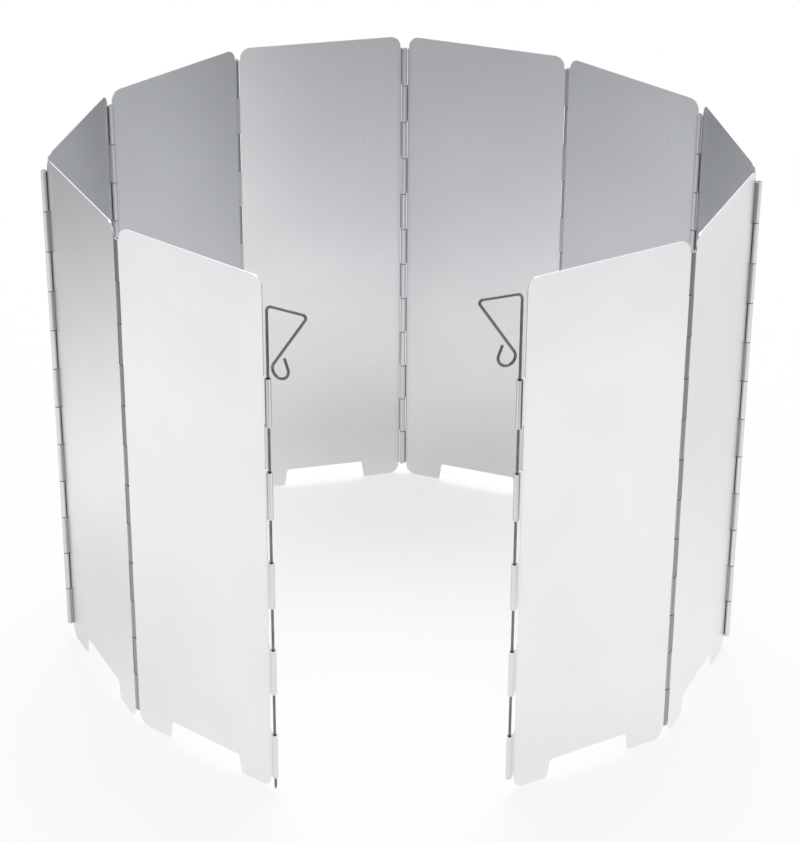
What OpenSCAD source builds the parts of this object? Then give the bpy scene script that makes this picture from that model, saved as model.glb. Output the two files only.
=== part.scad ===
// Folding stove windscreen.
// Ten thin plates stand in an open ring. Their side edges are rolled into knuckles that
// turn on steel wire pins, and each plate has a vent cut into its bottom edge.
// A wire stake with a bent handle slides in the rolled edge at each free end.

/* [Plates] */
// Height of a plate
plate_height = 240; // [200:1:280]
// Distance between the two hinge axes of a plate
hinge_pitch = 83; // [70:0.5:110]
// Thickness of the sheet
sheet_thickness = 0.5; // [0.3:0.05:0.8]
// Radius of a plate's four outer corners
corner_radius = 5; // [2:0.5:8]
// Room along a plate between its side edge and the barrel of the hinge beside it
edge_gap = 0.05; // [0:0.05:1.5]
// How far a plate's corners stand back from its side edge at a hinge
corner_relief = 0.55; // [0.1:0.05:1.5]

/* [Vents] */
// Width of the vent at the ground
vent_width = 42; // [20:0.5:54]
// Height of the vent
vent_height = 8.8; // [5:0.2:20]
// How far each side of the vent leans in at its top
vent_lean = 1.2; // [0.2:0.1:3]
// Radius of the vent's two top corners
vent_corner_radius = 1.5; // [0.5:0.1:3]
// Radius of the feet's corners beside the vent
foot_corner_radius = 1; // [0.4:0.1:2]

/* [Hinges] */
// Diameter of the hinge pins' wire
pin_diameter = 1.6; // [1.2:0.1:2.4]
// Clearance all round a pin in its knuckles
pin_clearance = 0.05; // [0.02:0.01:0.1]
// Knuckles that each plate gives to a hinge
knuckles_per_plate = 6; // [3:1:8]
// Gap between two knuckles that meet on a pin
knuckle_gap = 0.4; // [0.2:0.1:1]
// Distance from the end of a corner's rounding to the first knuckle
barrel_margin = 0.8; // [0.3:0.1:4]
// Gap between the end of a rolled edge and the sheet that it comes back to
seam_gap = 0.2; // [0.1:0.05:0.4]
// How far a pin's ends lie inside its barrel
pin_recess = 0.4; // [0.2:0.1:2]
// Chamfer on a pin's ends
pin_chamfer = 0.25; // [0.1:0.05:0.4]

/* [Ring] */
// Bend at hinge 1, next to the left free end
bend_1 = 24.5; // [5:0.5:60]
// Bend at hinge 2
bend_2 = 39.5; // [5:0.5:60]
// Bend at hinge 3
bend_3 = 29; // [5:0.5:60]
// Bend at hinge 4
bend_4 = 34; // [5:0.5:60]
// Bend at hinge 5, at the middle of the back
bend_5 = 35; // [5:0.5:60]
// Bend at hinge 6
bend_6 = 24.5; // [5:0.5:60]
// Bend at hinge 7
bend_7 = 34; // [5:0.5:60]
// Bend at hinge 8
bend_8 = 34.5; // [5:0.5:60]
// Bend at hinge 9, next to the right free end
bend_9 = 35.5; // [5:0.5:60]

/* [Free edges] */
// Knuckles on a free edge
free_knuckles = 5; // [3:1:7]
// Bare gap between two knuckles of a free edge
free_gap = 20.6; // [10:0.2:26]
// Height of the lowest free-edge knuckle above the ground
free_lowest = 7.2; // [5.8:0.1:14]
// Bare edge above the highest knuckle, left for the handle
handle_room = 42.6; // [30:0.2:60]
// Room along an end plate between its bare edge and the barrel of its knuckles
free_edge_gap = 1.9; // [0.8:0.05:3]

/* [Stakes] */
// Diameter of the stakes' wire
stake_diameter = 1.2; // [1:0.1:2]
// Clearance all round a stake in its knuckles
stake_clearance = 0.25; // [0.05:0.01:0.4]
// Height of the left stake's point above the ground
tip_height = 1.3; // [0.5:0.1:6]
// How much higher the right stake stands than the left one
right_stake_lift = 5.8; // [0:0.2:30]
// Length of a stake's point
tip_length = 1.6; // [1:0.2:8]
// Diameter of the blunt end of the point
tip_diameter = 0.6; // [0.2:0.1:0.9]
// Distance from the plate's top down to the left handle's top bar
handle_drop = 11; // [2:0.2:12]
// Reach of the handle from the stake's axis to its far corner
handle_reach = 18; // [14:0.5:26]
// Distance from the handle's top bar down to the middle of its eye
eye_drop = 26.5; // [22:0.5:36]
// Radius of the wire's bend at the top of the stake
shank_bend_radius = 2.4; // [1.6:0.1:4]
// Radius of the wire's bend at the handle's far corner
far_bend_radius = 1.4; // [1.3:0.1:3]
// Radius of the eye
eye_radius = 3.7; // [2.5:0.1:4.5]
// Gap between the eye and the knuckles that it passes
eye_clearance = 0.3; // [0.2:0.1:1]
// Direction of the eye's straight end, counted up from the handle's reach
eye_end_angle = 110; // [95:1:120]
// Length of the eye's straight end
eye_end_length = 4.4; // [1:0.2:5]
// How far the handles are turned inwards from the plates beside them
handle_turn = 9; // [0:1:30]

/* [Hidden] */
$fn = 48;

sheet_colour = "gainsboro";
wire_colour = "dimgray";

bends = [bend_1, bend_2, bend_3, bend_4, bend_5, bend_6, bend_7, bend_8, bend_9];
hinge_count = len(bends);
plate_count = hinge_count + 1;
middle_hinge = 5;

// Knuckles of one hinge, shared by turns between its two plates
barrel_low = corner_radius + barrel_margin;
barrel_length = plate_height - 2 * barrel_low;
knuckle_pitch = barrel_length / (2 * knuckles_per_plate);

// Knuckles of a free edge
free_span = plate_height - handle_room - free_lowest;
free_length = (free_span - (free_knuckles - 1) * free_gap) / free_knuckles;
free_pitch = free_length + free_gap;

// A stake's own frame has its axis at x = 0 and its handle's top bar at z = 0
handle_height = plate_height - handle_drop;
stake_length = handle_height - tip_height;
stake_radius = stake_diameter / 2;
// Bent wire is a hair thicker, and the straight pieces run this far into it
bend_swell = 0.04;
bend_lap = 0.15;
shank_length = stake_length - shank_bend_radius + bend_lap;

// Axis 0 is the left free edge, axes 1 to 9 are the hinges and axis 10 is the right free edge
function is_free(i) = i == 0 || i == plate_count;
// The rolled edges lie inside the ring at the odd axes and outside it at the even ones
function inside(i) = i % 2 == 1 ? 1 : -1;
function bore_radius(i) =
    is_free(i) ? stake_radius + stake_clearance : pin_diameter / 2 + pin_clearance;
function barrel_radius(i) = bore_radius(i) + sheet_thickness;
// Distance from an axis to the middle of the sheet that is rolled round it
function sheet_offset(i) = bore_radius(i) + sheet_thickness / 2;
// Distances from an axis to the side edge of the plate beside it and to the plate's corners
function edge_inset(i) = barrel_radius(i) + (is_free(i) ? free_edge_gap : edge_gap);
function corner_inset(i) = edge_inset(i) + (is_free(i) ? 0 : corner_relief);
// How far the sheet is rolled round an axis before it comes back to itself
function roll_turn(i) = 360 - acos((bore_radius(i) - seam_gap) / barrel_radius(i));

// Direction of a plate along the ring, seen from above
function heading(k) =
    k == middle_hinge ? bends[k - 1] / 2
    : k < middle_hinge ? heading(k + 1) + bends[k - 1]
    : heading(k - 1) - bends[k - 2];
function turned(v, angle) =
    [v.x * cos(angle) - v.y * sin(angle), v.x * sin(angle) + v.y * cos(angle)];
// Step from a plate's left axis to its right one, along the plate and outwards
function plate_step(k) =
    [hinge_pitch, sheet_offset(k - 1) * inside(k - 1) - sheet_offset(k) * inside(k)];
function axis_from_middle(i) =
    i == middle_hinge ? [0, 0]
    : i > middle_hinge ? axis_from_middle(i - 1) + turned(plate_step(i), heading(i))
    : axis_from_middle(i + 1) - turned(plate_step(i + 1), heading(i + 1));
function handle_heading(i) =
    i == 0 ? heading(1) + 180 + handle_turn : heading(plate_count) - handle_turn;
function handle_corner(i) = axis_from_middle(i) + turned([handle_reach, 0], handle_heading(i));

// The ring's box in plan, whose middle is the origin. Each mark is a place with the radius round it.
all_axes = [for (i = [0 : plate_count]) axis_from_middle(i)];
axis_marks = [for (i = [0 : plate_count]) [all_axes[i].x, all_axes[i].y, barrel_radius(i)]];
handle_marks =
    [for (i = [0, plate_count]) [handle_corner(i).x, handle_corner(i).y, stake_radius]];
marks = concat(axis_marks, handle_marks);
x_low = min([for (mark = marks) mark.x - mark.z]);
x_high = max([for (mark = marks) mark.x + mark.z]);
y_low = min([for (mark = marks) mark.y - mark.z]);
y_high = max([for (mark = marks) mark.y + mark.z]);
ring_middle = [(x_low + x_high) / 2, (y_low + y_high) / 2];
function axis_at(i) = all_axes[i] - ring_middle;

// Heights of the knuckles that a plate rolls round an axis, as [low, high] pairs.
// At a hinge the plate on the left has the top knuckle and the plate on the right the next one.
function knuckle_spans(i, on_right_edge) =
    is_free(i)
    ? [for (n = [0 : free_knuckles - 1])
        [free_lowest + n * free_pitch, free_lowest + n * free_pitch + free_length]]
    : [for (n = [0 : knuckles_per_plate - 1])
        let (low = barrel_low + (2 * n + (on_right_edge ? 1 : 0)) * knuckle_pitch)
        [low + knuckle_gap / 2, low + knuckle_pitch - knuckle_gap / 2]];

function unit(v) = v / norm(v);
function corner_angle(before, after) = acos(before * after);
// Distance from a corner to the points where its rounding meets the two sides
function tangent_length(before, after, radius) = radius / tan(corner_angle(before, after) / 2);
function corner_middle(corner, before, after, radius) =
    corner + unit(before + after) * radius / sin(corner_angle(before, after) / 2);
function is_hollow_corner(before, after) = before.x * after.y - before.y * after.x > 0;

// A flat outline whose corners, listed anticlockwise as [x, y, radius], are rounded by true arcs
module rounded_outline(corners) {
    count = len(corners);
    at = [for (c = corners) [c.x, c.y]];
    before = [for (i = [0 : count - 1]) unit(at[(i + count - 1) % count] - at[i])];
    after = [for (i = [0 : count - 1]) unit(at[(i + 1) % count] - at[i])];
    reach = [for (i = [0 : count - 1]) tangent_length(before[i], after[i], corners[i].z)];
    difference() {
        union() {
            polygon([for (i = [0 : count - 1], way = [before[i], after[i]]) at[i] + way * reach[i]]);
            for (i = [0 : count - 1])
                if (!is_hollow_corner(before[i], after[i]))
                    translate(corner_middle(at[i], before[i], after[i], corners[i].z))
                        circle(r = corners[i].z);
        }
        for (i = [0 : count - 1])
            if (is_hollow_corner(before[i], after[i]))
                translate(corner_middle(at[i], before[i], after[i], corners[i].z))
                    circle(r = corners[i].z);
    }
}

// A plate's flat outline, with x along the plate from its left axis and y up
module plate_outline(k) {
    left = corner_inset(k - 1);
    right = hinge_pitch - corner_inset(k);
    edge_low = barrel_low + knuckle_gap / 2;
    edge_length = barrel_length - knuckle_gap;
    vent_left = (hinge_pitch - vent_width) / 2;
    vent_right = (hinge_pitch + vent_width) / 2;
    rounded_outline([
        [left, 0, corner_radius],
        [vent_left, 0, foot_corner_radius],
        [vent_left + vent_lean, vent_height, vent_corner_radius],
        [vent_right - vent_lean, vent_height, vent_corner_radius],
        [vent_right, 0, foot_corner_radius],
        [right, 0, corner_radius],
        [right, plate_height, corner_radius],
        [left, plate_height, corner_radius]
    ]);
    // The side edges, which reach out past the corners beside a hinge's barrel
    if (!is_free(k - 1))
        translate([edge_inset(k - 1), edge_low])
            square([corner_relief + sheet_thickness, edge_length]);
    if (!is_free(k))
        translate([right - sheet_thickness, edge_low])
            square([corner_relief + sheet_thickness, edge_length]);
    // The tongues that run on from the plate's edges into its knuckles
    for (span = knuckle_spans(k - 1, false))
        translate([0, span[0]])
            square([left + sheet_thickness, span[1] - span[0]]);
    for (span = knuckle_spans(k, true))
        translate([right - sheet_thickness, span[0]])
            square([hinge_pitch - right + sheet_thickness, span[1] - span[0]]);
}

// The rolled edge round axis i, with the axis at the origin and the sheet beside it along x
module rolled_edge(i, on_right_edge) {
    rolls_clockwise = on_right_edge == (inside(i) > 0);
    for (span = knuckle_spans(i, on_right_edge))
        translate([0, 0, span[0]])
            mirror([rolls_clockwise ? 1 : 0, 0, 0])
                rotate([0, 0, 90 * inside(i)])
                    rotate_extrude(angle = roll_turn(i))
                        translate([bore_radius(i), 0])
                            square([sheet_thickness, span[1] - span[0]]);
}

// One plate with its two rolled edges, drawn along x from its left axis and moved into the ring
module panel(k) {
    sheet_y = sheet_offset(k - 1) * inside(k - 1);
    color(sheet_colour)
        translate(axis_at(k - 1))
            rotate([0, 0, heading(k)])
                union() {
                    translate([0, sheet_y + sheet_thickness / 2, 0])
                        rotate([90, 0, 0])
                            linear_extrude(sheet_thickness)
                                plate_outline(k);
                    rolled_edge(k - 1, false);
                    translate(plate_step(k))
                        rolled_edge(k, true);
                }
}

// A hinge pin, a straight wire with chamfered ends just inside its barrel
module hinge_pin(k) {
    length = barrel_length - 2 * pin_recess;
    color(wire_colour)
        translate([axis_at(k).x, axis_at(k).y, barrel_low + pin_recess])
            rotate_extrude()
                polygon([
                    [0, 0],
                    [pin_diameter / 2 - pin_chamfer, 0],
                    [pin_diameter / 2, pin_chamfer],
                    [pin_diameter / 2, length - pin_chamfer],
                    [pin_diameter / 2 - pin_chamfer, length],
                    [0, length]
                ]);
}

// A straight piece of stake wire in the plane of the handle, which laps into the bends at its ends
module wire_line(from, to) {
    way = to - from;
    translate([from.x, 0, from.y])
        rotate([0, atan2(way.x, way.y), 0])
            translate([0, 0, -bend_lap])
                cylinder(d = stake_diameter, h = norm(way) + 2 * bend_lap);
}

// A bent piece of stake wire in the plane of the handle, turning up from its first angle
module wire_arc(middle, radius, first, turn) {
    translate([middle.x, 0, middle.y])
        rotate([90, 0, 0])
            rotate([0, 0, first])
                rotate_extrude(angle = turn)
                    translate([radius, 0])
                        circle(d = stake_diameter + bend_swell);
}

// A stake in its own frame: a pointed shank, the handle's two bends, its diagonal and its eye
module stake() {
    far_middle = [handle_reach - far_bend_radius, -far_bend_radius];
    eye_middle =
        [barrel_radius(0) + eye_clearance + stake_radius + eye_radius, -eye_drop];
    // The diagonal leaves the far bend on one side and meets the eye on its other side
    span = eye_middle - far_middle;
    diagonal = atan2(span.y, span.x) - asin((far_bend_radius + eye_radius) / norm(span));
    beside = turned([0, 1], diagonal);
    diagonal_start = far_middle + beside * far_bend_radius;
    diagonal_end = eye_middle - beside * eye_radius;
    eye_last = eye_end_angle - 90;
    eye_end = eye_middle + turned([eye_radius, 0], eye_last);

    translate([0, 0, -stake_length])
        rotate_extrude()
            polygon([
                [0, 0],
                [tip_diameter / 2, 0],
                [stake_radius, tip_length],
                [stake_radius, shank_length],
                [0, shank_length]
            ]);
    wire_arc([shank_bend_radius, -shank_bend_radius], shank_bend_radius, 90, 90);
    wire_line([shank_bend_radius, 0], [handle_reach - far_bend_radius, 0]);
    wire_arc(far_middle, far_bend_radius, diagonal + 90, -diagonal);
    wire_line(diagonal_start, diagonal_end);
    wire_arc(eye_middle, eye_radius, diagonal - 90, eye_end_angle - diagonal);
    wire_line(eye_end, eye_end + turned([eye_end_length, 0], eye_end_angle));
}

// A stake stood in the free edge at axis i
module placed_stake(i, lift) {
    color(wire_colour)
        translate([axis_at(i).x, axis_at(i).y, handle_height + lift])
            rotate([0, 0, handle_heading(i)])
                stake();
}

module stake_left() {
    placed_stake(0, 0);
}

module stake_right() {
    placed_stake(plate_count, right_stake_lift);
}

for (k = [1 : plate_count])
    panel(k);
for (k = [1 : hinge_count])
    hinge_pin(k);
stake_left();
stake_right();
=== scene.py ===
"""Looks of a folding stove windscreen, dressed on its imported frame.

The plates, hinge pins and stakes keep the shapes of the frame. This script gives each of them
its finish, and adds the floor, the lamp and the camera.
"""

import logging
import math
from dataclasses import dataclass, field
from enum import Enum

import bpy
from mathutils import Matrix, Vector


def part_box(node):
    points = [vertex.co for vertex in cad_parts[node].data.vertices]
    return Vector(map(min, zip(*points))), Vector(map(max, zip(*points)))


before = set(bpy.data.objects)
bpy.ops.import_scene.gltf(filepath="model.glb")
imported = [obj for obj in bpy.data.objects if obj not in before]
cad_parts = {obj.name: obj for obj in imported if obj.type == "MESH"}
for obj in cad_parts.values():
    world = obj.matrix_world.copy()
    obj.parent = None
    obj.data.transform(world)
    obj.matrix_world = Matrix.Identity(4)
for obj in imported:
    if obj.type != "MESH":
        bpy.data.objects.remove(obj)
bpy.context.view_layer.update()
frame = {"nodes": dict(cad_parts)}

log = logging.getLogger("windscreen")
Colour = tuple[float, float, float]
Place = tuple[float, float, float]


class SeenBy(Enum):
    """Kinds of ray that see the white of the floor and the backdrop."""

    CAMERA = "Is Camera Ray"
    GLOSSY = "Is Glossy Ray"
    TRANSMISSION = "Is Transmission Ray"


class Grain(Enum):
    """How far a finish's fine marks are drawn out along each axis of the piece."""

    ROLLED = (1.0, 1.0, 0.003)
    DRAWN = (1.0, 1.0, 0.06)


class Bench:
    """Adds nodes to one node tree and wires them together."""

    def __init__(self, tree: bpy.types.NodeTree) -> None:
        """Take the tree that the nodes go into."""
        self.tree = tree

    def add(self, kind: str, **settings: object) -> bpy.types.Node:
        """Add one node.

        Args:
            kind: The node's Blender type.
            settings: Values for the node's own properties.

        Returns:
            The new node.
        """
        node = self.tree.nodes.new(kind)
        for name, value in settings.items():
            setattr(node, name, value)
        return node

    def feed(self, target: bpy.types.NodeSocket, source: object) -> None:
        """Link a socket into another, or set a plain value on it.

        Args:
            target: The socket that takes the value.
            source: An output socket, or a number, colour or vector.
        """
        if isinstance(source, bpy.types.NodeSocket):
            self.tree.links.new(source, target)
        else:
            target.default_value = source

    def maths(self, operation: str, *values: object, clamp: bool = False) -> bpy.types.NodeSocket:
        """Add a Math node.

        Args:
            operation: The name of the operation.
            values: Its operands, as sockets or numbers.
            clamp: Whether the result is kept between 0 and 1.

        Returns:
            The result.
        """
        node = self.add("ShaderNodeMath", operation=operation, use_clamp=clamp)
        for socket, value in zip(node.inputs, values):
            self.feed(socket, value)
        return node.outputs[0]

    def ramp(self, value: object, low: float, high: float, to_low: float,
             to_high: float) -> bpy.types.NodeSocket:
        """Map a value from one range to another, kept inside it.

        Args:
            value: The socket to map.
            low: The value that becomes to_low.
            high: The value that becomes to_high.
            to_low: One end of the result.
            to_high: The other end of the result.

        Returns:
            The mapped value.
        """
        node = self.add("ShaderNodeMapRange", clamp=True)
        for name, source in zip(("Value", "From Min", "From Max", "To Min", "To Max"),
                                (value, low, high, to_low, to_high)):
            self.feed(node.inputs[name], source)
        return node.outputs["Result"]

    def blend(self, share: object, first: object, second: object) -> bpy.types.NodeSocket:
        """Mix two colours.

        Args:
            share: How much of the second colour shows.
            first: The colour at a share of 0.
            second: The colour at a share of 1.

        Returns:
            The mixed colour.
        """
        node = self.add("ShaderNodeMix", data_type="RGBA")
        self.feed(node.inputs[0], share)
        self.feed(node.inputs[6], first)
        self.feed(node.inputs[7], second)
        return node.outputs[2]


def opaque(colour: Colour) -> tuple[float, float, float, float]:
    """Give a colour with full alpha."""
    return (*colour, 1.0)


@dataclass(frozen=True)
class NoiseShape:
    """How the noise of the fine lines and of the haze is made."""

    line_detail: float = 3.0
    line_breakup: float = 0.6
    haze_detail: float = 2.0
    haze_range: tuple[float, float] = (0.35, 0.75)


@dataclass(frozen=True)
class RollShades:
    """How a sheet's edges and rolls are told from its faces, and how dark the shade painted on the rolls is.

    A tilt is a range of one part of the surface normal, over which a mark fades in or out. A share
    is how much of the painted shade colour shows; every knuckle takes at least the knuckle share. The
    shade painted in the valleys and on the flanks of the free rolls fades from its upper height to the
    lower one, so it is darker towards the top.
    """

    edge_tilt: tuple[float, float] = (0.4, 0.8)
    valley_tilt: tuple[float, float] = (-0.1, 0.5)
    valley_heights: tuple[float, float] = (0.0, 0.24)
    low_valley_share: float = 0.75
    outer_valley_share: float = 0.6
    knuckle_share: float = 0.15
    flank_shade_tilt: tuple[float, float] = (-0.1, 0.3)
    flank_shade_heights: tuple[float, float] = (0.095, 0.185)
    low_flank_shade_share: float = 0.1


class Effects:
    """Shader node groups that several finishes share, each built once."""

    def __init__(self, noise: NoiseShape = NoiseShape(), shades: RollShades = RollShades()) -> None:
        """Build every group.

        Args:
            noise: How the noise of the grain and the haze is made.
            shades: How edges are marked and how shade is painted on the rolls.
        """
        self.noise = noise
        self.shades = shades
        self.fine_grain = self._fine_grain()
        self.handling_haze = self._handling_haze()
        self.edges_and_roll_shades = self._sheet_edges()

    @staticmethod
    def _start(name: str, inputs: dict[str, str], outputs: dict[str, str]) -> tuple[Bench, dict, dict]:
        """Open a new group.

        Args:
            name: The group's name.
            inputs: Socket types by input name.
            outputs: Socket types by output name.

        Returns:
            A bench on the group, its inputs and its outputs.
        """
        tree = bpy.data.node_groups.new(name, "ShaderNodeTree")
        for socket, kind in inputs.items():
            tree.interface.new_socket(socket, in_out="INPUT", socket_type=kind)
        for socket, kind in outputs.items():
            tree.interface.new_socket(socket, in_out="OUTPUT", socket_type=kind)
        bench = Bench(tree)
        taken = bench.add("NodeGroupInput").outputs
        given = bench.add("NodeGroupOutput").inputs
        return bench, taken, given

    def _fine_grain(self) -> bpy.types.NodeTree:
        """Build fine lines drawn out along a piece, as rolls and dies leave them.

        Returns:
            The group.
        """
        bench, taken, given = self._start(
            "fine_grain",
            {"Position": "NodeSocketVector", "Stretch": "NodeSocketVector",
             "Density": "NodeSocketFloat", "Seed": "NodeSocketFloat"},
            {"Lines": "NodeSocketFloat"})
        drawn = bench.add("ShaderNodeVectorMath", operation="MULTIPLY")
        bench.feed(drawn.inputs[0], taken["Position"])
        bench.feed(drawn.inputs[1], taken["Stretch"])
        noise = bench.add("ShaderNodeTexNoise", noise_dimensions="4D")
        bench.feed(noise.inputs["Vector"], drawn.outputs[0])
        bench.feed(noise.inputs["W"], taken["Seed"])
        bench.feed(noise.inputs["Scale"], taken["Density"])
        bench.feed(noise.inputs["Detail"], self.noise.line_detail)
        bench.feed(noise.inputs["Roughness"], self.noise.line_breakup)
        bench.feed(given["Lines"], noise.outputs["Fac"])
        return bench.tree

    def _handling_haze(self) -> bpy.types.NodeTree:
        """Build soft clouds where a surface has been handled.

        Returns:
            The group.
        """
        bench, taken, given = self._start(
            "handling_haze",
            {"Position": "NodeSocketVector", "Density": "NodeSocketFloat", "Seed": "NodeSocketFloat"},
            {"Haze": "NodeSocketFloat"})
        noise = bench.add("ShaderNodeTexNoise", noise_dimensions="4D")
        bench.feed(noise.inputs["Vector"], taken["Position"])
        bench.feed(noise.inputs["W"], taken["Seed"])
        bench.feed(noise.inputs["Scale"], taken["Density"])
        bench.feed(noise.inputs["Detail"], self.noise.haze_detail)
        bench.feed(given["Haze"], bench.ramp(noise.outputs["Fac"], *self.noise.haze_range, 0.0, 1.0))
        return bench.tree

    def _sheet_edges(self) -> bpy.types.NodeTree:
        """Build the masks of cut edges, of the shade painted behind the hinge rolls and on every knuckle,
        and of the dark reflection and shade painted on the flanks of the free rolls.

        Returns:
            The group.
        """
        bench, taken, given = self._start(
            "edges_and_roll_shades",
            {"Position": "NodeSocketVector", "Normal": "NodeSocketVector", "Half Width": "NodeSocketFloat",
             "Roll Start": "NodeSocketFloat", "Roll Side": "NodeSocketFloat", "Free Side": "NodeSocketFloat"},
            {"Edge": "NodeSocketFloat", "Valley Shade": "NodeSocketFloat",
             "Seam": "NodeSocketFloat", "Free Half": "NodeSocketFloat"})
        shades = self.shades
        facing = bench.add("ShaderNodeSeparateXYZ")
        bench.feed(facing.inputs[0], taken["Normal"])
        place = bench.add("ShaderNodeSeparateXYZ")
        bench.feed(place.inputs[0], taken["Position"])
        from_middle = bench.maths("ABSOLUTE", place.outputs["X"])
        side = bench.maths("SIGN", place.outputs["X"])
        aside = bench.ramp(bench.maths("ABSOLUTE", facing.outputs["Y"]), *shades.edge_tilt, 1.0, 0.0)
        flat = bench.maths("LESS_THAN", from_middle, taken["Half Width"])
        bench.feed(given["Edge"], bench.maths("MULTIPLY", aside, flat))
        rolled = bench.maths("GREATER_THAN", from_middle, taken["Roll Start"])
        hinged = bench.maths("LESS_THAN", bench.maths("MULTIPLY", side, taken["Free Side"]), 0.5)
        # Painted shade in the valleys behind the hinge rolls, lighter towards the feet, and a little painted
        # shade on every knuckle.
        inside = bench.maths("MULTIPLY", side, taken["Roll Side"])
        outwards = bench.maths("MULTIPLY", facing.outputs["Y"], inside)
        behind = bench.ramp(outwards, *shades.valley_tilt, 0.0, 1.0)
        strength = bench.ramp(inside, -1.0, 1.0, shades.outer_valley_share, 1.0)
        sunk = bench.ramp(place.outputs["Z"], *shades.valley_heights, shades.low_valley_share, 1.0)
        behind = bench.maths("MULTIPLY", behind, bench.maths("MULTIPLY", strength, sunk))
        dark = bench.maths("MAXIMUM", bench.maths("MULTIPLY", behind, hinged), shades.knuckle_share)
        bench.feed(given["Valley Shade"], bench.maths("MULTIPLY", dark, rolled))
        # Dark reflection and shade painted on the flank of each free roll that faces the plate, fading
        # towards the feet.
        towards_edge = bench.maths("MULTIPLY", facing.outputs["X"], side)
        flank_shade = bench.ramp(towards_edge, *shades.flank_shade_tilt, 1.0, 0.0)
        fade = bench.ramp(place.outputs["Z"], *shades.flank_shade_heights, shades.low_flank_shade_share, 1.0)
        free = bench.maths("SUBTRACT", 1.0, hinged)
        bench.feed(given["Free Half"], free)
        free_roll = bench.maths("MULTIPLY", rolled, free)
        flank_shade = bench.maths("MULTIPLY", flank_shade, free_roll)
        bench.feed(given["Seam"], bench.maths("MULTIPLY", flank_shade, fade))
        return bench.tree


@dataclass(frozen=True)
class PlateFrame:
    """Where one plate stands and how its edges are rolled.

    The middle is on the ground and x runs along the ring. The roll side is 1 where the knuckles
    towards the next plate stand inside the ring, and -1 where they stand outside it. The free side
    is 1 or -1 for the edge that carries a stake, and 0 where both edges are hinged.
    """

    middle: Vector
    heading: float
    half_width: float
    roll_start: float
    roll_side: float
    free_side: float

    @classmethod
    def of(cls, plate: bpy.types.Object, number: int, count: int, flat_end: float,
           rolled: float) -> "PlateFrame":
        """Read a plate's place from its mesh.

        Args:
            plate: The plate's object.
            number: The plate's number along the ring.
            count: How many plates there are.
            flat_end: Width at each side that the cut edges of the flat sheet don't reach.
            rolled: Width of the knuckles at each side.

        Returns:
            The plate's frame.
        """
        low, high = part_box(plate.name)
        middle = (low + high) / 2
        middle.z = 0.0
        across = max(plate.data.polygons, key=lambda face: face.area).normal.copy()
        if across.dot(middle) < 0:
            across.negate()
        heading = math.atan2(-across.x, across.y)
        along = Vector((math.cos(heading), math.sin(heading), 0.0))
        reach = max(abs((vertex.co - middle).dot(along)) for vertex in plate.data.vertices)
        roll_side = 1.0 if number % 2 else -1.0
        free_side = {1: -1.0, count: 1.0}.get(number, 0.0)
        return cls(middle, heading, reach - flat_end, reach - rolled, roll_side, free_side)


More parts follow.
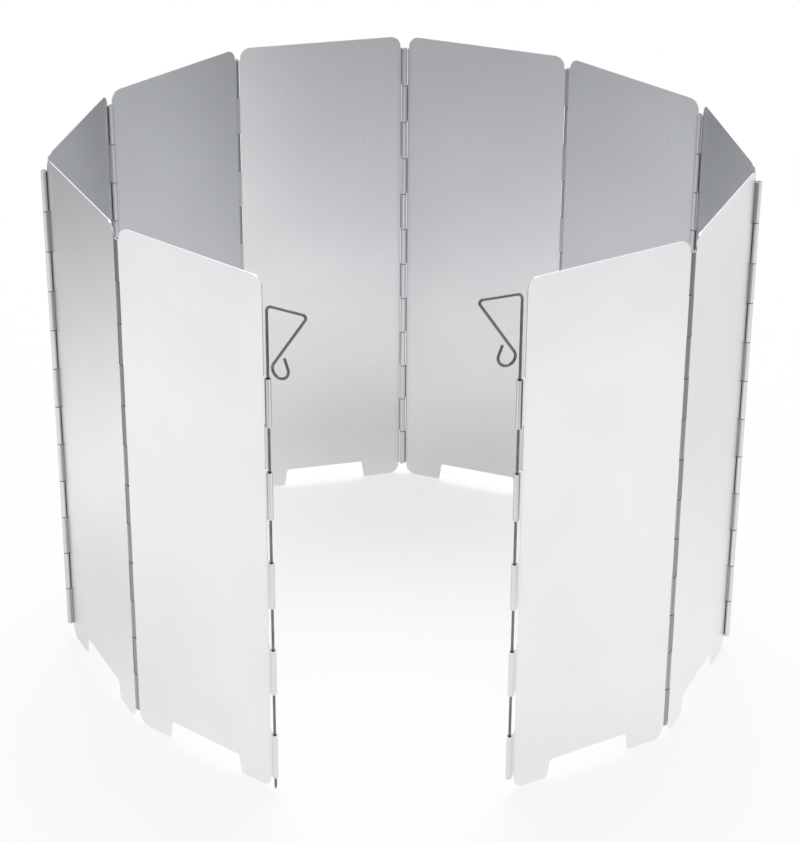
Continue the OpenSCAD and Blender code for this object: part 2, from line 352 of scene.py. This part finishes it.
@dataclass(frozen=True)
class SheetFinish:
    """Satin aluminium sheet as it comes from the rolls, with bright cut edges and painted shade in its
    crevices, in the valleys behind the hinge rolls and on the flanks of the free rolls.

    The painted crevice shade is darker where the sheet is closed in within its reach, but not at the
    feet that stand on the floor. On the half with the free edge it takes the darker colour of the
    shade painted on the free rolls' flanks.
    """

    name: str = "satin_aluminium"
    colour: Colour = (0.816, 0.824, 0.838)
    haze_colour: Colour = (0.794, 0.802, 0.816)
    edge_colour: Colour = (0.95, 0.955, 0.96)
    # Colour of the shade painted in the hinge valleys and on the knuckles.
    valley_shade_colour: Colour = (0.19, 0.191, 0.193)
    # Colour of the shade painted in crevices on the hinged half, where ambient occlusion finds the sheet
    # closed in.
    crevice_shade_colour: Colour = (0.45, 0.453, 0.458)
    # Colour of the dark reflection and shade painted on the free rolls' flanks, and of the painted crevice
    # shade on the free half.
    flank_shade_colour: Colour = (0.07, 0.07, 0.072)
    # Reach and limits of the ambient occlusion that places the painted crevice shade.
    crevice_reach: float = 0.0035
    crevice_open: float = 0.9
    crevice_closed: float = 0.32
    crevice_samples: int = 6
    foot_height: float = 0.005
    roughness: float = 0.28
    line_roughness: float = 0.05
    haze_roughness: float = 0.03
    line_density: float = 2600.0
    haze_density: float = 22.0
    wave_density: float = 9.0
    line_depth: float = 0.000006
    wave_depth: float = 0.0002

    def material(self, number: int, plate: PlateFrame, effects: Effects) -> bpy.types.Material:
        """Make the finish of one plate.

        Args:
            number: The plate's number, which gives it its own grain.
            plate: Where the plate stands.
            effects: The shared node groups.

        Returns:
            The material.
        """
        material = bpy.data.materials.new(f"{self.name}_{number}")
        material.use_nodes = True
        bench = Bench(material.node_tree)
        shader = material.node_tree.nodes["Principled BSDF"]
        place = bench.add("ShaderNodeTexCoord")
        position = self._in_plate(bench, place.outputs["Object"], plate, plate.middle)
        normal = self._in_plate(bench, place.outputs["Normal"], plate, Vector())
        lines = bench.add("ShaderNodeGroup", node_tree=effects.fine_grain)
        bench.feed(lines.inputs["Position"], position)
        bench.feed(lines.inputs["Stretch"], Grain.ROLLED.value)
        bench.feed(lines.inputs["Density"], self.line_density)
        bench.feed(lines.inputs["Seed"], float(number))
        haze = bench.add("ShaderNodeGroup", node_tree=effects.handling_haze)
        bench.feed(haze.inputs["Position"], position)
        bench.feed(haze.inputs["Density"], self.haze_density)
        bench.feed(haze.inputs["Seed"], float(number))
        edges = bench.add("ShaderNodeGroup", node_tree=effects.edges_and_roll_shades)
        bench.feed(edges.inputs["Position"], position)
        bench.feed(edges.inputs["Normal"], normal)
        bench.feed(edges.inputs["Half Width"], plate.half_width)
        bench.feed(edges.inputs["Roll Start"], plate.roll_start)
        bench.feed(edges.inputs["Roll Side"], plate.roll_side)
        bench.feed(edges.inputs["Free Side"], plate.free_side)
        bench.feed(shader.inputs["Base Color"], self._colour(bench, haze, edges, position))
        rough = bench.maths("MULTIPLY_ADD", lines.outputs["Lines"], self.line_roughness,
                            self.roughness - self.line_roughness / 2)
        rough = bench.maths("MULTIPLY_ADD", haze.outputs["Haze"], self.haze_roughness, rough)
        bench.feed(shader.inputs["Roughness"], rough)
        bench.feed(shader.inputs["Metallic"], 1.0)
        bench.feed(shader.inputs["Normal"], self._relief(bench, lines, position, number))
        return material

    def _colour(self, bench: Bench, haze: bpy.types.Node, edges: bpy.types.Node,
                position: bpy.types.NodeSocket) -> bpy.types.NodeSocket:
        """Colour the faces and cut edges, and paint shade into the valleys, the crevices and the free rolls'
        flanks.

        Args:
            bench: The bench of the material.
            haze: The node of the handling haze.
            edges: The node of the edges and rolls.
            position: The position in the plate's frame.

        Returns:
            The base colour.
        """
        face = bench.blend(haze.outputs["Haze"], opaque(self.colour), opaque(self.haze_colour))
        face = bench.blend(edges.outputs["Edge"], face, opaque(self.edge_colour))
        # Painted shade in the hinge valleys and on the knuckles.
        face = bench.blend(edges.outputs["Valley Shade"], face, opaque(self.valley_shade_colour))
        # Painted shade where ambient occlusion finds the sheet closed in, but not at the feet, joined by the
        # shade painted on the free rolls' flanks.
        closed_in = bench.add("ShaderNodeAmbientOcclusion", samples=self.crevice_samples)
        bench.feed(closed_in.inputs["Distance"], self.crevice_reach)
        crevice = bench.ramp(closed_in.outputs["AO"], self.crevice_closed, self.crevice_open, 1.0, 0.0)
        height = bench.add("ShaderNodeSeparateXYZ")
        bench.feed(height.inputs[0], position)
        above_foot = bench.maths("GREATER_THAN", height.outputs["Z"], self.foot_height)
        crevice = bench.maths("MULTIPLY", crevice, above_foot)
        crevice = bench.maths("MAXIMUM", crevice, edges.outputs["Seam"])
        # The free half takes the darker painted shade colour.
        dark = bench.blend(edges.outputs["Free Half"], opaque(self.crevice_shade_colour), opaque(self.flank_shade_colour))
        return bench.blend(crevice, face, dark)

    def _relief(self, bench: Bench, lines: bpy.types.Node, position: bpy.types.NodeSocket,
                number: int) -> bpy.types.NodeSocket:
        """Give the sheet slight waves and fine lines.

        Args:
            bench: The bench of the material.
            lines: The node of the fine grain.
            position: The position in the plate's frame.
            number: The plate's number, which gives it its own waves.

        Returns:
            The surface normal.
        """
        wave = bench.add("ShaderNodeTexNoise", noise_dimensions="4D")
        bench.feed(wave.inputs["Vector"], position)
        bench.feed(wave.inputs["W"], float(number))
        bench.feed(wave.inputs["Scale"], self.wave_density)
        bench.feed(wave.inputs["Detail"], 0.0)
        waves = bench.add("ShaderNodeBump")
        bench.feed(waves.inputs["Distance"], self.wave_depth)
        bench.feed(waves.inputs["Height"], wave.outputs["Fac"])
        grain = bench.add("ShaderNodeBump")
        bench.feed(grain.inputs["Distance"], self.line_depth)
        bench.feed(grain.inputs["Height"], lines.outputs["Lines"])
        bench.feed(grain.inputs["Normal"], waves.outputs["Normal"])
        return grain.outputs["Normal"]

    @staticmethod
    def _in_plate(bench: Bench, vector: bpy.types.NodeSocket, plate: PlateFrame,
                  origin: Vector) -> bpy.types.NodeSocket:
        """Turn a vector into a plate's own frame.

        Args:
            bench: The bench of the material.
            vector: The vector in the object's frame.
            plate: Where the plate stands.
            origin: The point that becomes the frame's origin.

        Returns:
            The vector with x along the plate, y outwards and z up.
        """
        node = bench.add("ShaderNodeMapping", vector_type="TEXTURE")
        bench.feed(node.inputs["Vector"], vector)
        bench.feed(node.inputs["Location"], origin)
        bench.feed(node.inputs["Rotation"], (0.0, 0.0, plate.heading))
        return node.outputs["Vector"]


@dataclass(frozen=True)
class WireFinish:
    """Drawn steel wire, a little dull."""

    name: str
    colour: Colour
    haze_colour: Colour
    roughness: float
    seed: float
    line_roughness: float = 0.15
    line_density: float = 5200.0
    haze_density: float = 160.0
    line_depth: float = 0.00001

    def material(self, effects: Effects) -> bpy.types.Material:
        """Make the wire's finish.

        Args:
            effects: The shared node groups.

        Returns:
            The material.
        """
        material = bpy.data.materials.new(self.name)
        material.use_nodes = True
        bench = Bench(material.node_tree)
        shader = material.node_tree.nodes["Principled BSDF"]
        place = bench.add("ShaderNodeTexCoord").outputs["Object"]
        lines = bench.add("ShaderNodeGroup", node_tree=effects.fine_grain)
        bench.feed(lines.inputs["Position"], place)
        bench.feed(lines.inputs["Stretch"], Grain.DRAWN.value)
        bench.feed(lines.inputs["Density"], self.line_density)
        bench.feed(lines.inputs["Seed"], self.seed)
        haze = bench.add("ShaderNodeGroup", node_tree=effects.handling_haze)
        bench.feed(haze.inputs["Position"], place)
        bench.feed(haze.inputs["Density"], self.haze_density)
        bench.feed(haze.inputs["Seed"], self.seed)
        bench.feed(shader.inputs["Base Color"],
                   bench.blend(haze.outputs["Haze"], opaque(self.colour), opaque(self.haze_colour)))
        bench.feed(shader.inputs["Roughness"],
                   bench.maths("MULTIPLY_ADD", lines.outputs["Lines"], self.line_roughness,
                               self.roughness - self.line_roughness / 2))
        bench.feed(shader.inputs["Metallic"], 1.0)
        grain = bench.add("ShaderNodeBump")
        bench.feed(grain.inputs["Distance"], self.line_depth)
        bench.feed(grain.inputs["Height"], lines.outputs["Lines"])
        bench.feed(shader.inputs["Normal"], grain.outputs["Normal"])
        return material


def coat(piece: bpy.types.Object, material: bpy.types.Material) -> None:
    """Give every material slot of a piece one material.

    Args:
        piece: The object to coat.
        material: The material that it takes.
    """
    for slot in piece.material_slots:
        slot.material = material
    log.info("%s takes %s", piece.name, material.name)


@dataclass
class FoldingScreen:
    """The hinged plates and the pins that join them."""

    effects: Effects
    plate_count: int = 10
    flat_end: float = 0.0035
    rolled_width: float = 0.0026
    sheet: SheetFinish = field(default_factory=SheetFinish)
    pin_wire: WireFinish = field(default_factory=lambda: WireFinish(
        "pin_wire", (0.42, 0.425, 0.43), (0.34, 0.34, 0.345), 0.32, 21.0))

    def dress(self, nodes: dict[str, bpy.types.Object]) -> None:
        """Give the plates and pins their finishes.

        Args:
            nodes: The frame's objects by name.
        """
        for number in range(1, self.plate_count + 1):
            plate = nodes[f"panel_{number}"]
            place = PlateFrame.of(plate, number, self.plate_count, self.flat_end, self.rolled_width)
            coat(plate, self.sheet.material(number, place, self.effects))
        wire = self.pin_wire.material(self.effects)
        for number in range(1, self.plate_count):
            coat(nodes[f"hinge_pin_{number}"], wire)


@dataclass
class Stakes:
    """The two wire stakes that slide in the screen's free edges."""

    effects: Effects
    wire: WireFinish = field(default_factory=lambda: WireFinish(
        "stake_wire", (0.20, 0.201, 0.203), (0.13, 0.13, 0.131), 0.28, 31.0))

    def dress(self, nodes: dict[str, bpy.types.Object]) -> None:
        """Give both stakes their finish.

        Args:
            nodes: The frame's objects by name.
        """
        wire = self.wire.material(self.effects)
        for side in ("left", "right"):
            coat(nodes[f"stake_{side}"], wire)


@dataclass(frozen=True)
class Softbox:
    """A studio lamp that faces a point on the object."""

    name: str
    place: Place
    aim: Place
    width: float
    depth: float
    power: float
    colour: Colour = (1.0, 1.0, 1.0)

    def hang(self) -> None:
        """Make the lamp and point it."""
        data = bpy.data.lights.new(self.name, "AREA")
        data.shape = "RECTANGLE"
        data.size = self.width
        data.size_y = self.depth
        data.energy = self.power
        data.color = self.colour
        lamp = bpy.data.objects.new(self.name, data)
        lamp.location = self.place
        lamp.rotation_euler = (Vector(self.aim) - Vector(self.place)).to_track_quat("-Z", "Y").to_euler()
        bpy.context.scene.collection.objects.link(lamp)
        log.info("lamp %s", self.name)


@dataclass(frozen=True)
class Viewpoint:
    """The camera, as the photograph was taken."""

    place: Place = (0.0652, -1.0766, 0.6616)
    turn: float = math.radians(3.49)
    tilt: float = math.radians(27.20)
    roll: float = math.radians(0.34)
    lens: float = 113.3
    sensor: float = 36.0

    def set_up(self) -> None:
        """Make the camera and give it to the scene."""
        data = bpy.data.cameras.new("camera")
        data.lens = self.lens
        data.sensor_width = self.sensor
        camera = bpy.data.objects.new("camera", data)
        turned = Matrix.Rotation(self.turn, 4, "Z")
        tilted = Matrix.Rotation(math.pi / 2 - self.tilt, 4, "X")
        rolled = Matrix.Rotation(self.roll, 4, "Z")
        camera.matrix_world = Matrix.Translation(self.place) @ turned @ tilted @ rolled
        bpy.context.scene.collection.objects.link(camera)
        bpy.context.scene.camera = camera


@dataclass(frozen=True)
class Patch:
    """A round part of the floor that fades from one value at its middle to another at its rim."""

    middle: Place
    inner: float
    outer: float
    at_middle: float
    at_rim: float = 1.0


@dataclass
class Studio:
    """A white floor, a white backdrop and a soft lamp.

    The shaded parts are where the floor shows more of its own shade. The mirrored parts set how
    bright the floor is where the plates mirror it.
    """

    floor_size: float = 30.0
    floor_colour: Colour = (0.93, 0.93, 0.93)
    floor_roughness: float = 0.25
    shaded_parts: tuple[Patch, ...] = (
        Patch((0.0, 0.0, 0.0), 0.18, 0.55, 0.87),
        Patch((0.0, 0.13, 0.0), 0.03, 0.16, 0.80),
    )
    mirrored_strength: float = 1.14
    mirrored_parts: tuple[Patch, ...] = (
        Patch((0.02, 0.12, 0.0), 0.02, 0.18, 0.78),
        Patch((0.0, -0.03, 0.0), 0.05, 0.17, 0.93),
        Patch((-0.19, 0.0, 0.0), 0.03, 0.14, 0.78),
        Patch((0.38, 0.24, 0.0), 0.12, 0.42, 0.82),
        Patch((-0.62, 0.42, 0.0), 0.10, 0.50, 0.40),
        Patch((0.0, -1.0, 0.0), 0.35, 0.68, 0.30),
        Patch((0.0, 0.0, 0.0), 0.62, 1.30, 1.0, 0.45),
    )
    overhead_start: float = 0.65
    overhead_strength: float = 0.35
    sky_strength: float = 0.5
    sky_colour: Colour = (0.96, 0.98, 1.0)
    lamps: tuple[Softbox, ...] = (
        Softbox("key_lamp", (0.0, 0.9, 1.7), (0.0, 0.0, 0.0), 1.2, 0.8, 22.0),
    )

    @staticmethod
    def _seen(bench: Bench) -> bpy.types.NodeSocket:
        """Tell the rays that see the white backdrop from the others.

        Args:
            bench: The bench of the floor's or the sky's nodes.

        Returns:
            1 for the rays that see it and 0 for the others.
        """
        path = bench.add("ShaderNodeLightPath")
        seen = path.outputs[SeenBy.CAMERA.value]
        for kind in (SeenBy.GLOSSY, SeenBy.TRANSMISSION):
            seen = bench.maths("MAXIMUM", seen, path.outputs[kind.value])
        return seen

    @staticmethod
    def _product(bench: Bench, patches: tuple[Patch, ...]) -> bpy.types.NodeSocket:
        """Multiply the values of several round parts of the floor.

        Args:
            bench: The bench of the floor's material.
            patches: The round parts.

        Returns:
            Their product at each point of the floor.
        """
        place = bench.add("ShaderNodeTexCoord").outputs["Object"]
        value = 1.0
        for patch in patches:
            away = bench.add("ShaderNodeVectorMath", operation="DISTANCE")
            bench.feed(away.inputs[0], place)
            bench.feed(away.inputs[1], patch.middle)
            fade = bench.ramp(away.outputs["Value"], patch.inner, patch.outer, patch.at_middle, patch.at_rim)
            value = bench.maths("MULTIPLY", value, fade)
        return value

    def lay_floor(self) -> None:
        """Lay the pale floor that keeps a faint shadow."""
        half = self.floor_size / 2
        mesh = bpy.data.meshes.new("floor")
        corners = [(-half, -half, 0.0), (half, -half, 0.0), (half, half, 0.0), (-half, half, 0.0)]
        mesh.from_pydata(corners, [], [(0, 1, 2, 3)])
        floor = bpy.data.objects.new("floor", mesh)
        bpy.context.scene.collection.objects.link(floor)
        material = bpy.data.materials.new("white_floor")
        material.use_nodes = True
        bench = Bench(material.node_tree)
        shader = material.node_tree.nodes["Principled BSDF"]
        bench.feed(shader.inputs["Base Color"], opaque(self.floor_colour))
        bench.feed(shader.inputs["Roughness"], self.floor_roughness)
        glow = bench.add("ShaderNodeEmission")
        mirrored = bench.add("ShaderNodeLightPath").outputs[SeenBy.GLOSSY.value]
        lit = bench.maths("MULTIPLY", self._product(bench, self.mirrored_parts), self.mirrored_strength)
        bench.feed(glow.inputs["Strength"],
                   bench.maths("MULTIPLY_ADD", mirrored, bench.maths("SUBTRACT", lit, 1.0), 1.0))
        share = bench.maths("MULTIPLY", self._seen(bench), self._product(bench, self.shaded_parts))
        mixed = bench.add("ShaderNodeMixShader")
        bench.feed(mixed.inputs[0], share)
        bench.feed(mixed.inputs[1], shader.outputs[0])
        bench.feed(mixed.inputs[2], glow.outputs[0])
        bench.feed(material.node_tree.nodes["Material Output"].inputs["Surface"], mixed.outputs[0])
        mesh.materials.append(material)

    def light(self) -> None:
        """Hang the lamps and set the sky, whose white backdrop is dimmer overhead."""
        for lamp in self.lamps:
            lamp.hang()
        world = bpy.data.worlds.new("white_room")
        bpy.context.scene.world = world
        world.use_nodes = True
        bench = Bench(world.node_tree)
        sky = world.node_tree.nodes["Background"]
        bench.feed(sky.inputs["Color"], opaque(self.sky_colour))
        bench.feed(sky.inputs["Strength"], self.sky_strength)
        white = bench.add("ShaderNodeBackground")
        upwards = bench.add("ShaderNodeSeparateXYZ")
        bench.feed(upwards.inputs[0], bench.add("ShaderNodeTexCoord").outputs["Generated"])
        bench.feed(white.inputs["Strength"],
                   bench.ramp(upwards.outputs["Z"], self.overhead_start, 1.0, 1.0, self.overhead_strength))
        mixed = bench.add("ShaderNodeMixShader")
        bench.feed(mixed.inputs[0], self._seen(bench))
        bench.feed(mixed.inputs[1], sky.outputs[0])
        bench.feed(mixed.inputs[2], white.outputs[0])
        bench.feed(world.node_tree.nodes["World Output"].inputs["Surface"], mixed.outputs[0])


def main() -> None:
    """Dress the windscreen and set up the studio."""
    logging.basicConfig(level=logging.INFO)
    bpy.context.scene.view_settings.view_transform = "Standard"
    Viewpoint().set_up()
    effects = Effects()
    FoldingScreen(effects).dress(frame["nodes"])
    Stakes(effects).dress(frame["nodes"])
    studio = Studio()
    studio.lay_floor()
    studio.light()


if __name__ == "__main__":
    main()
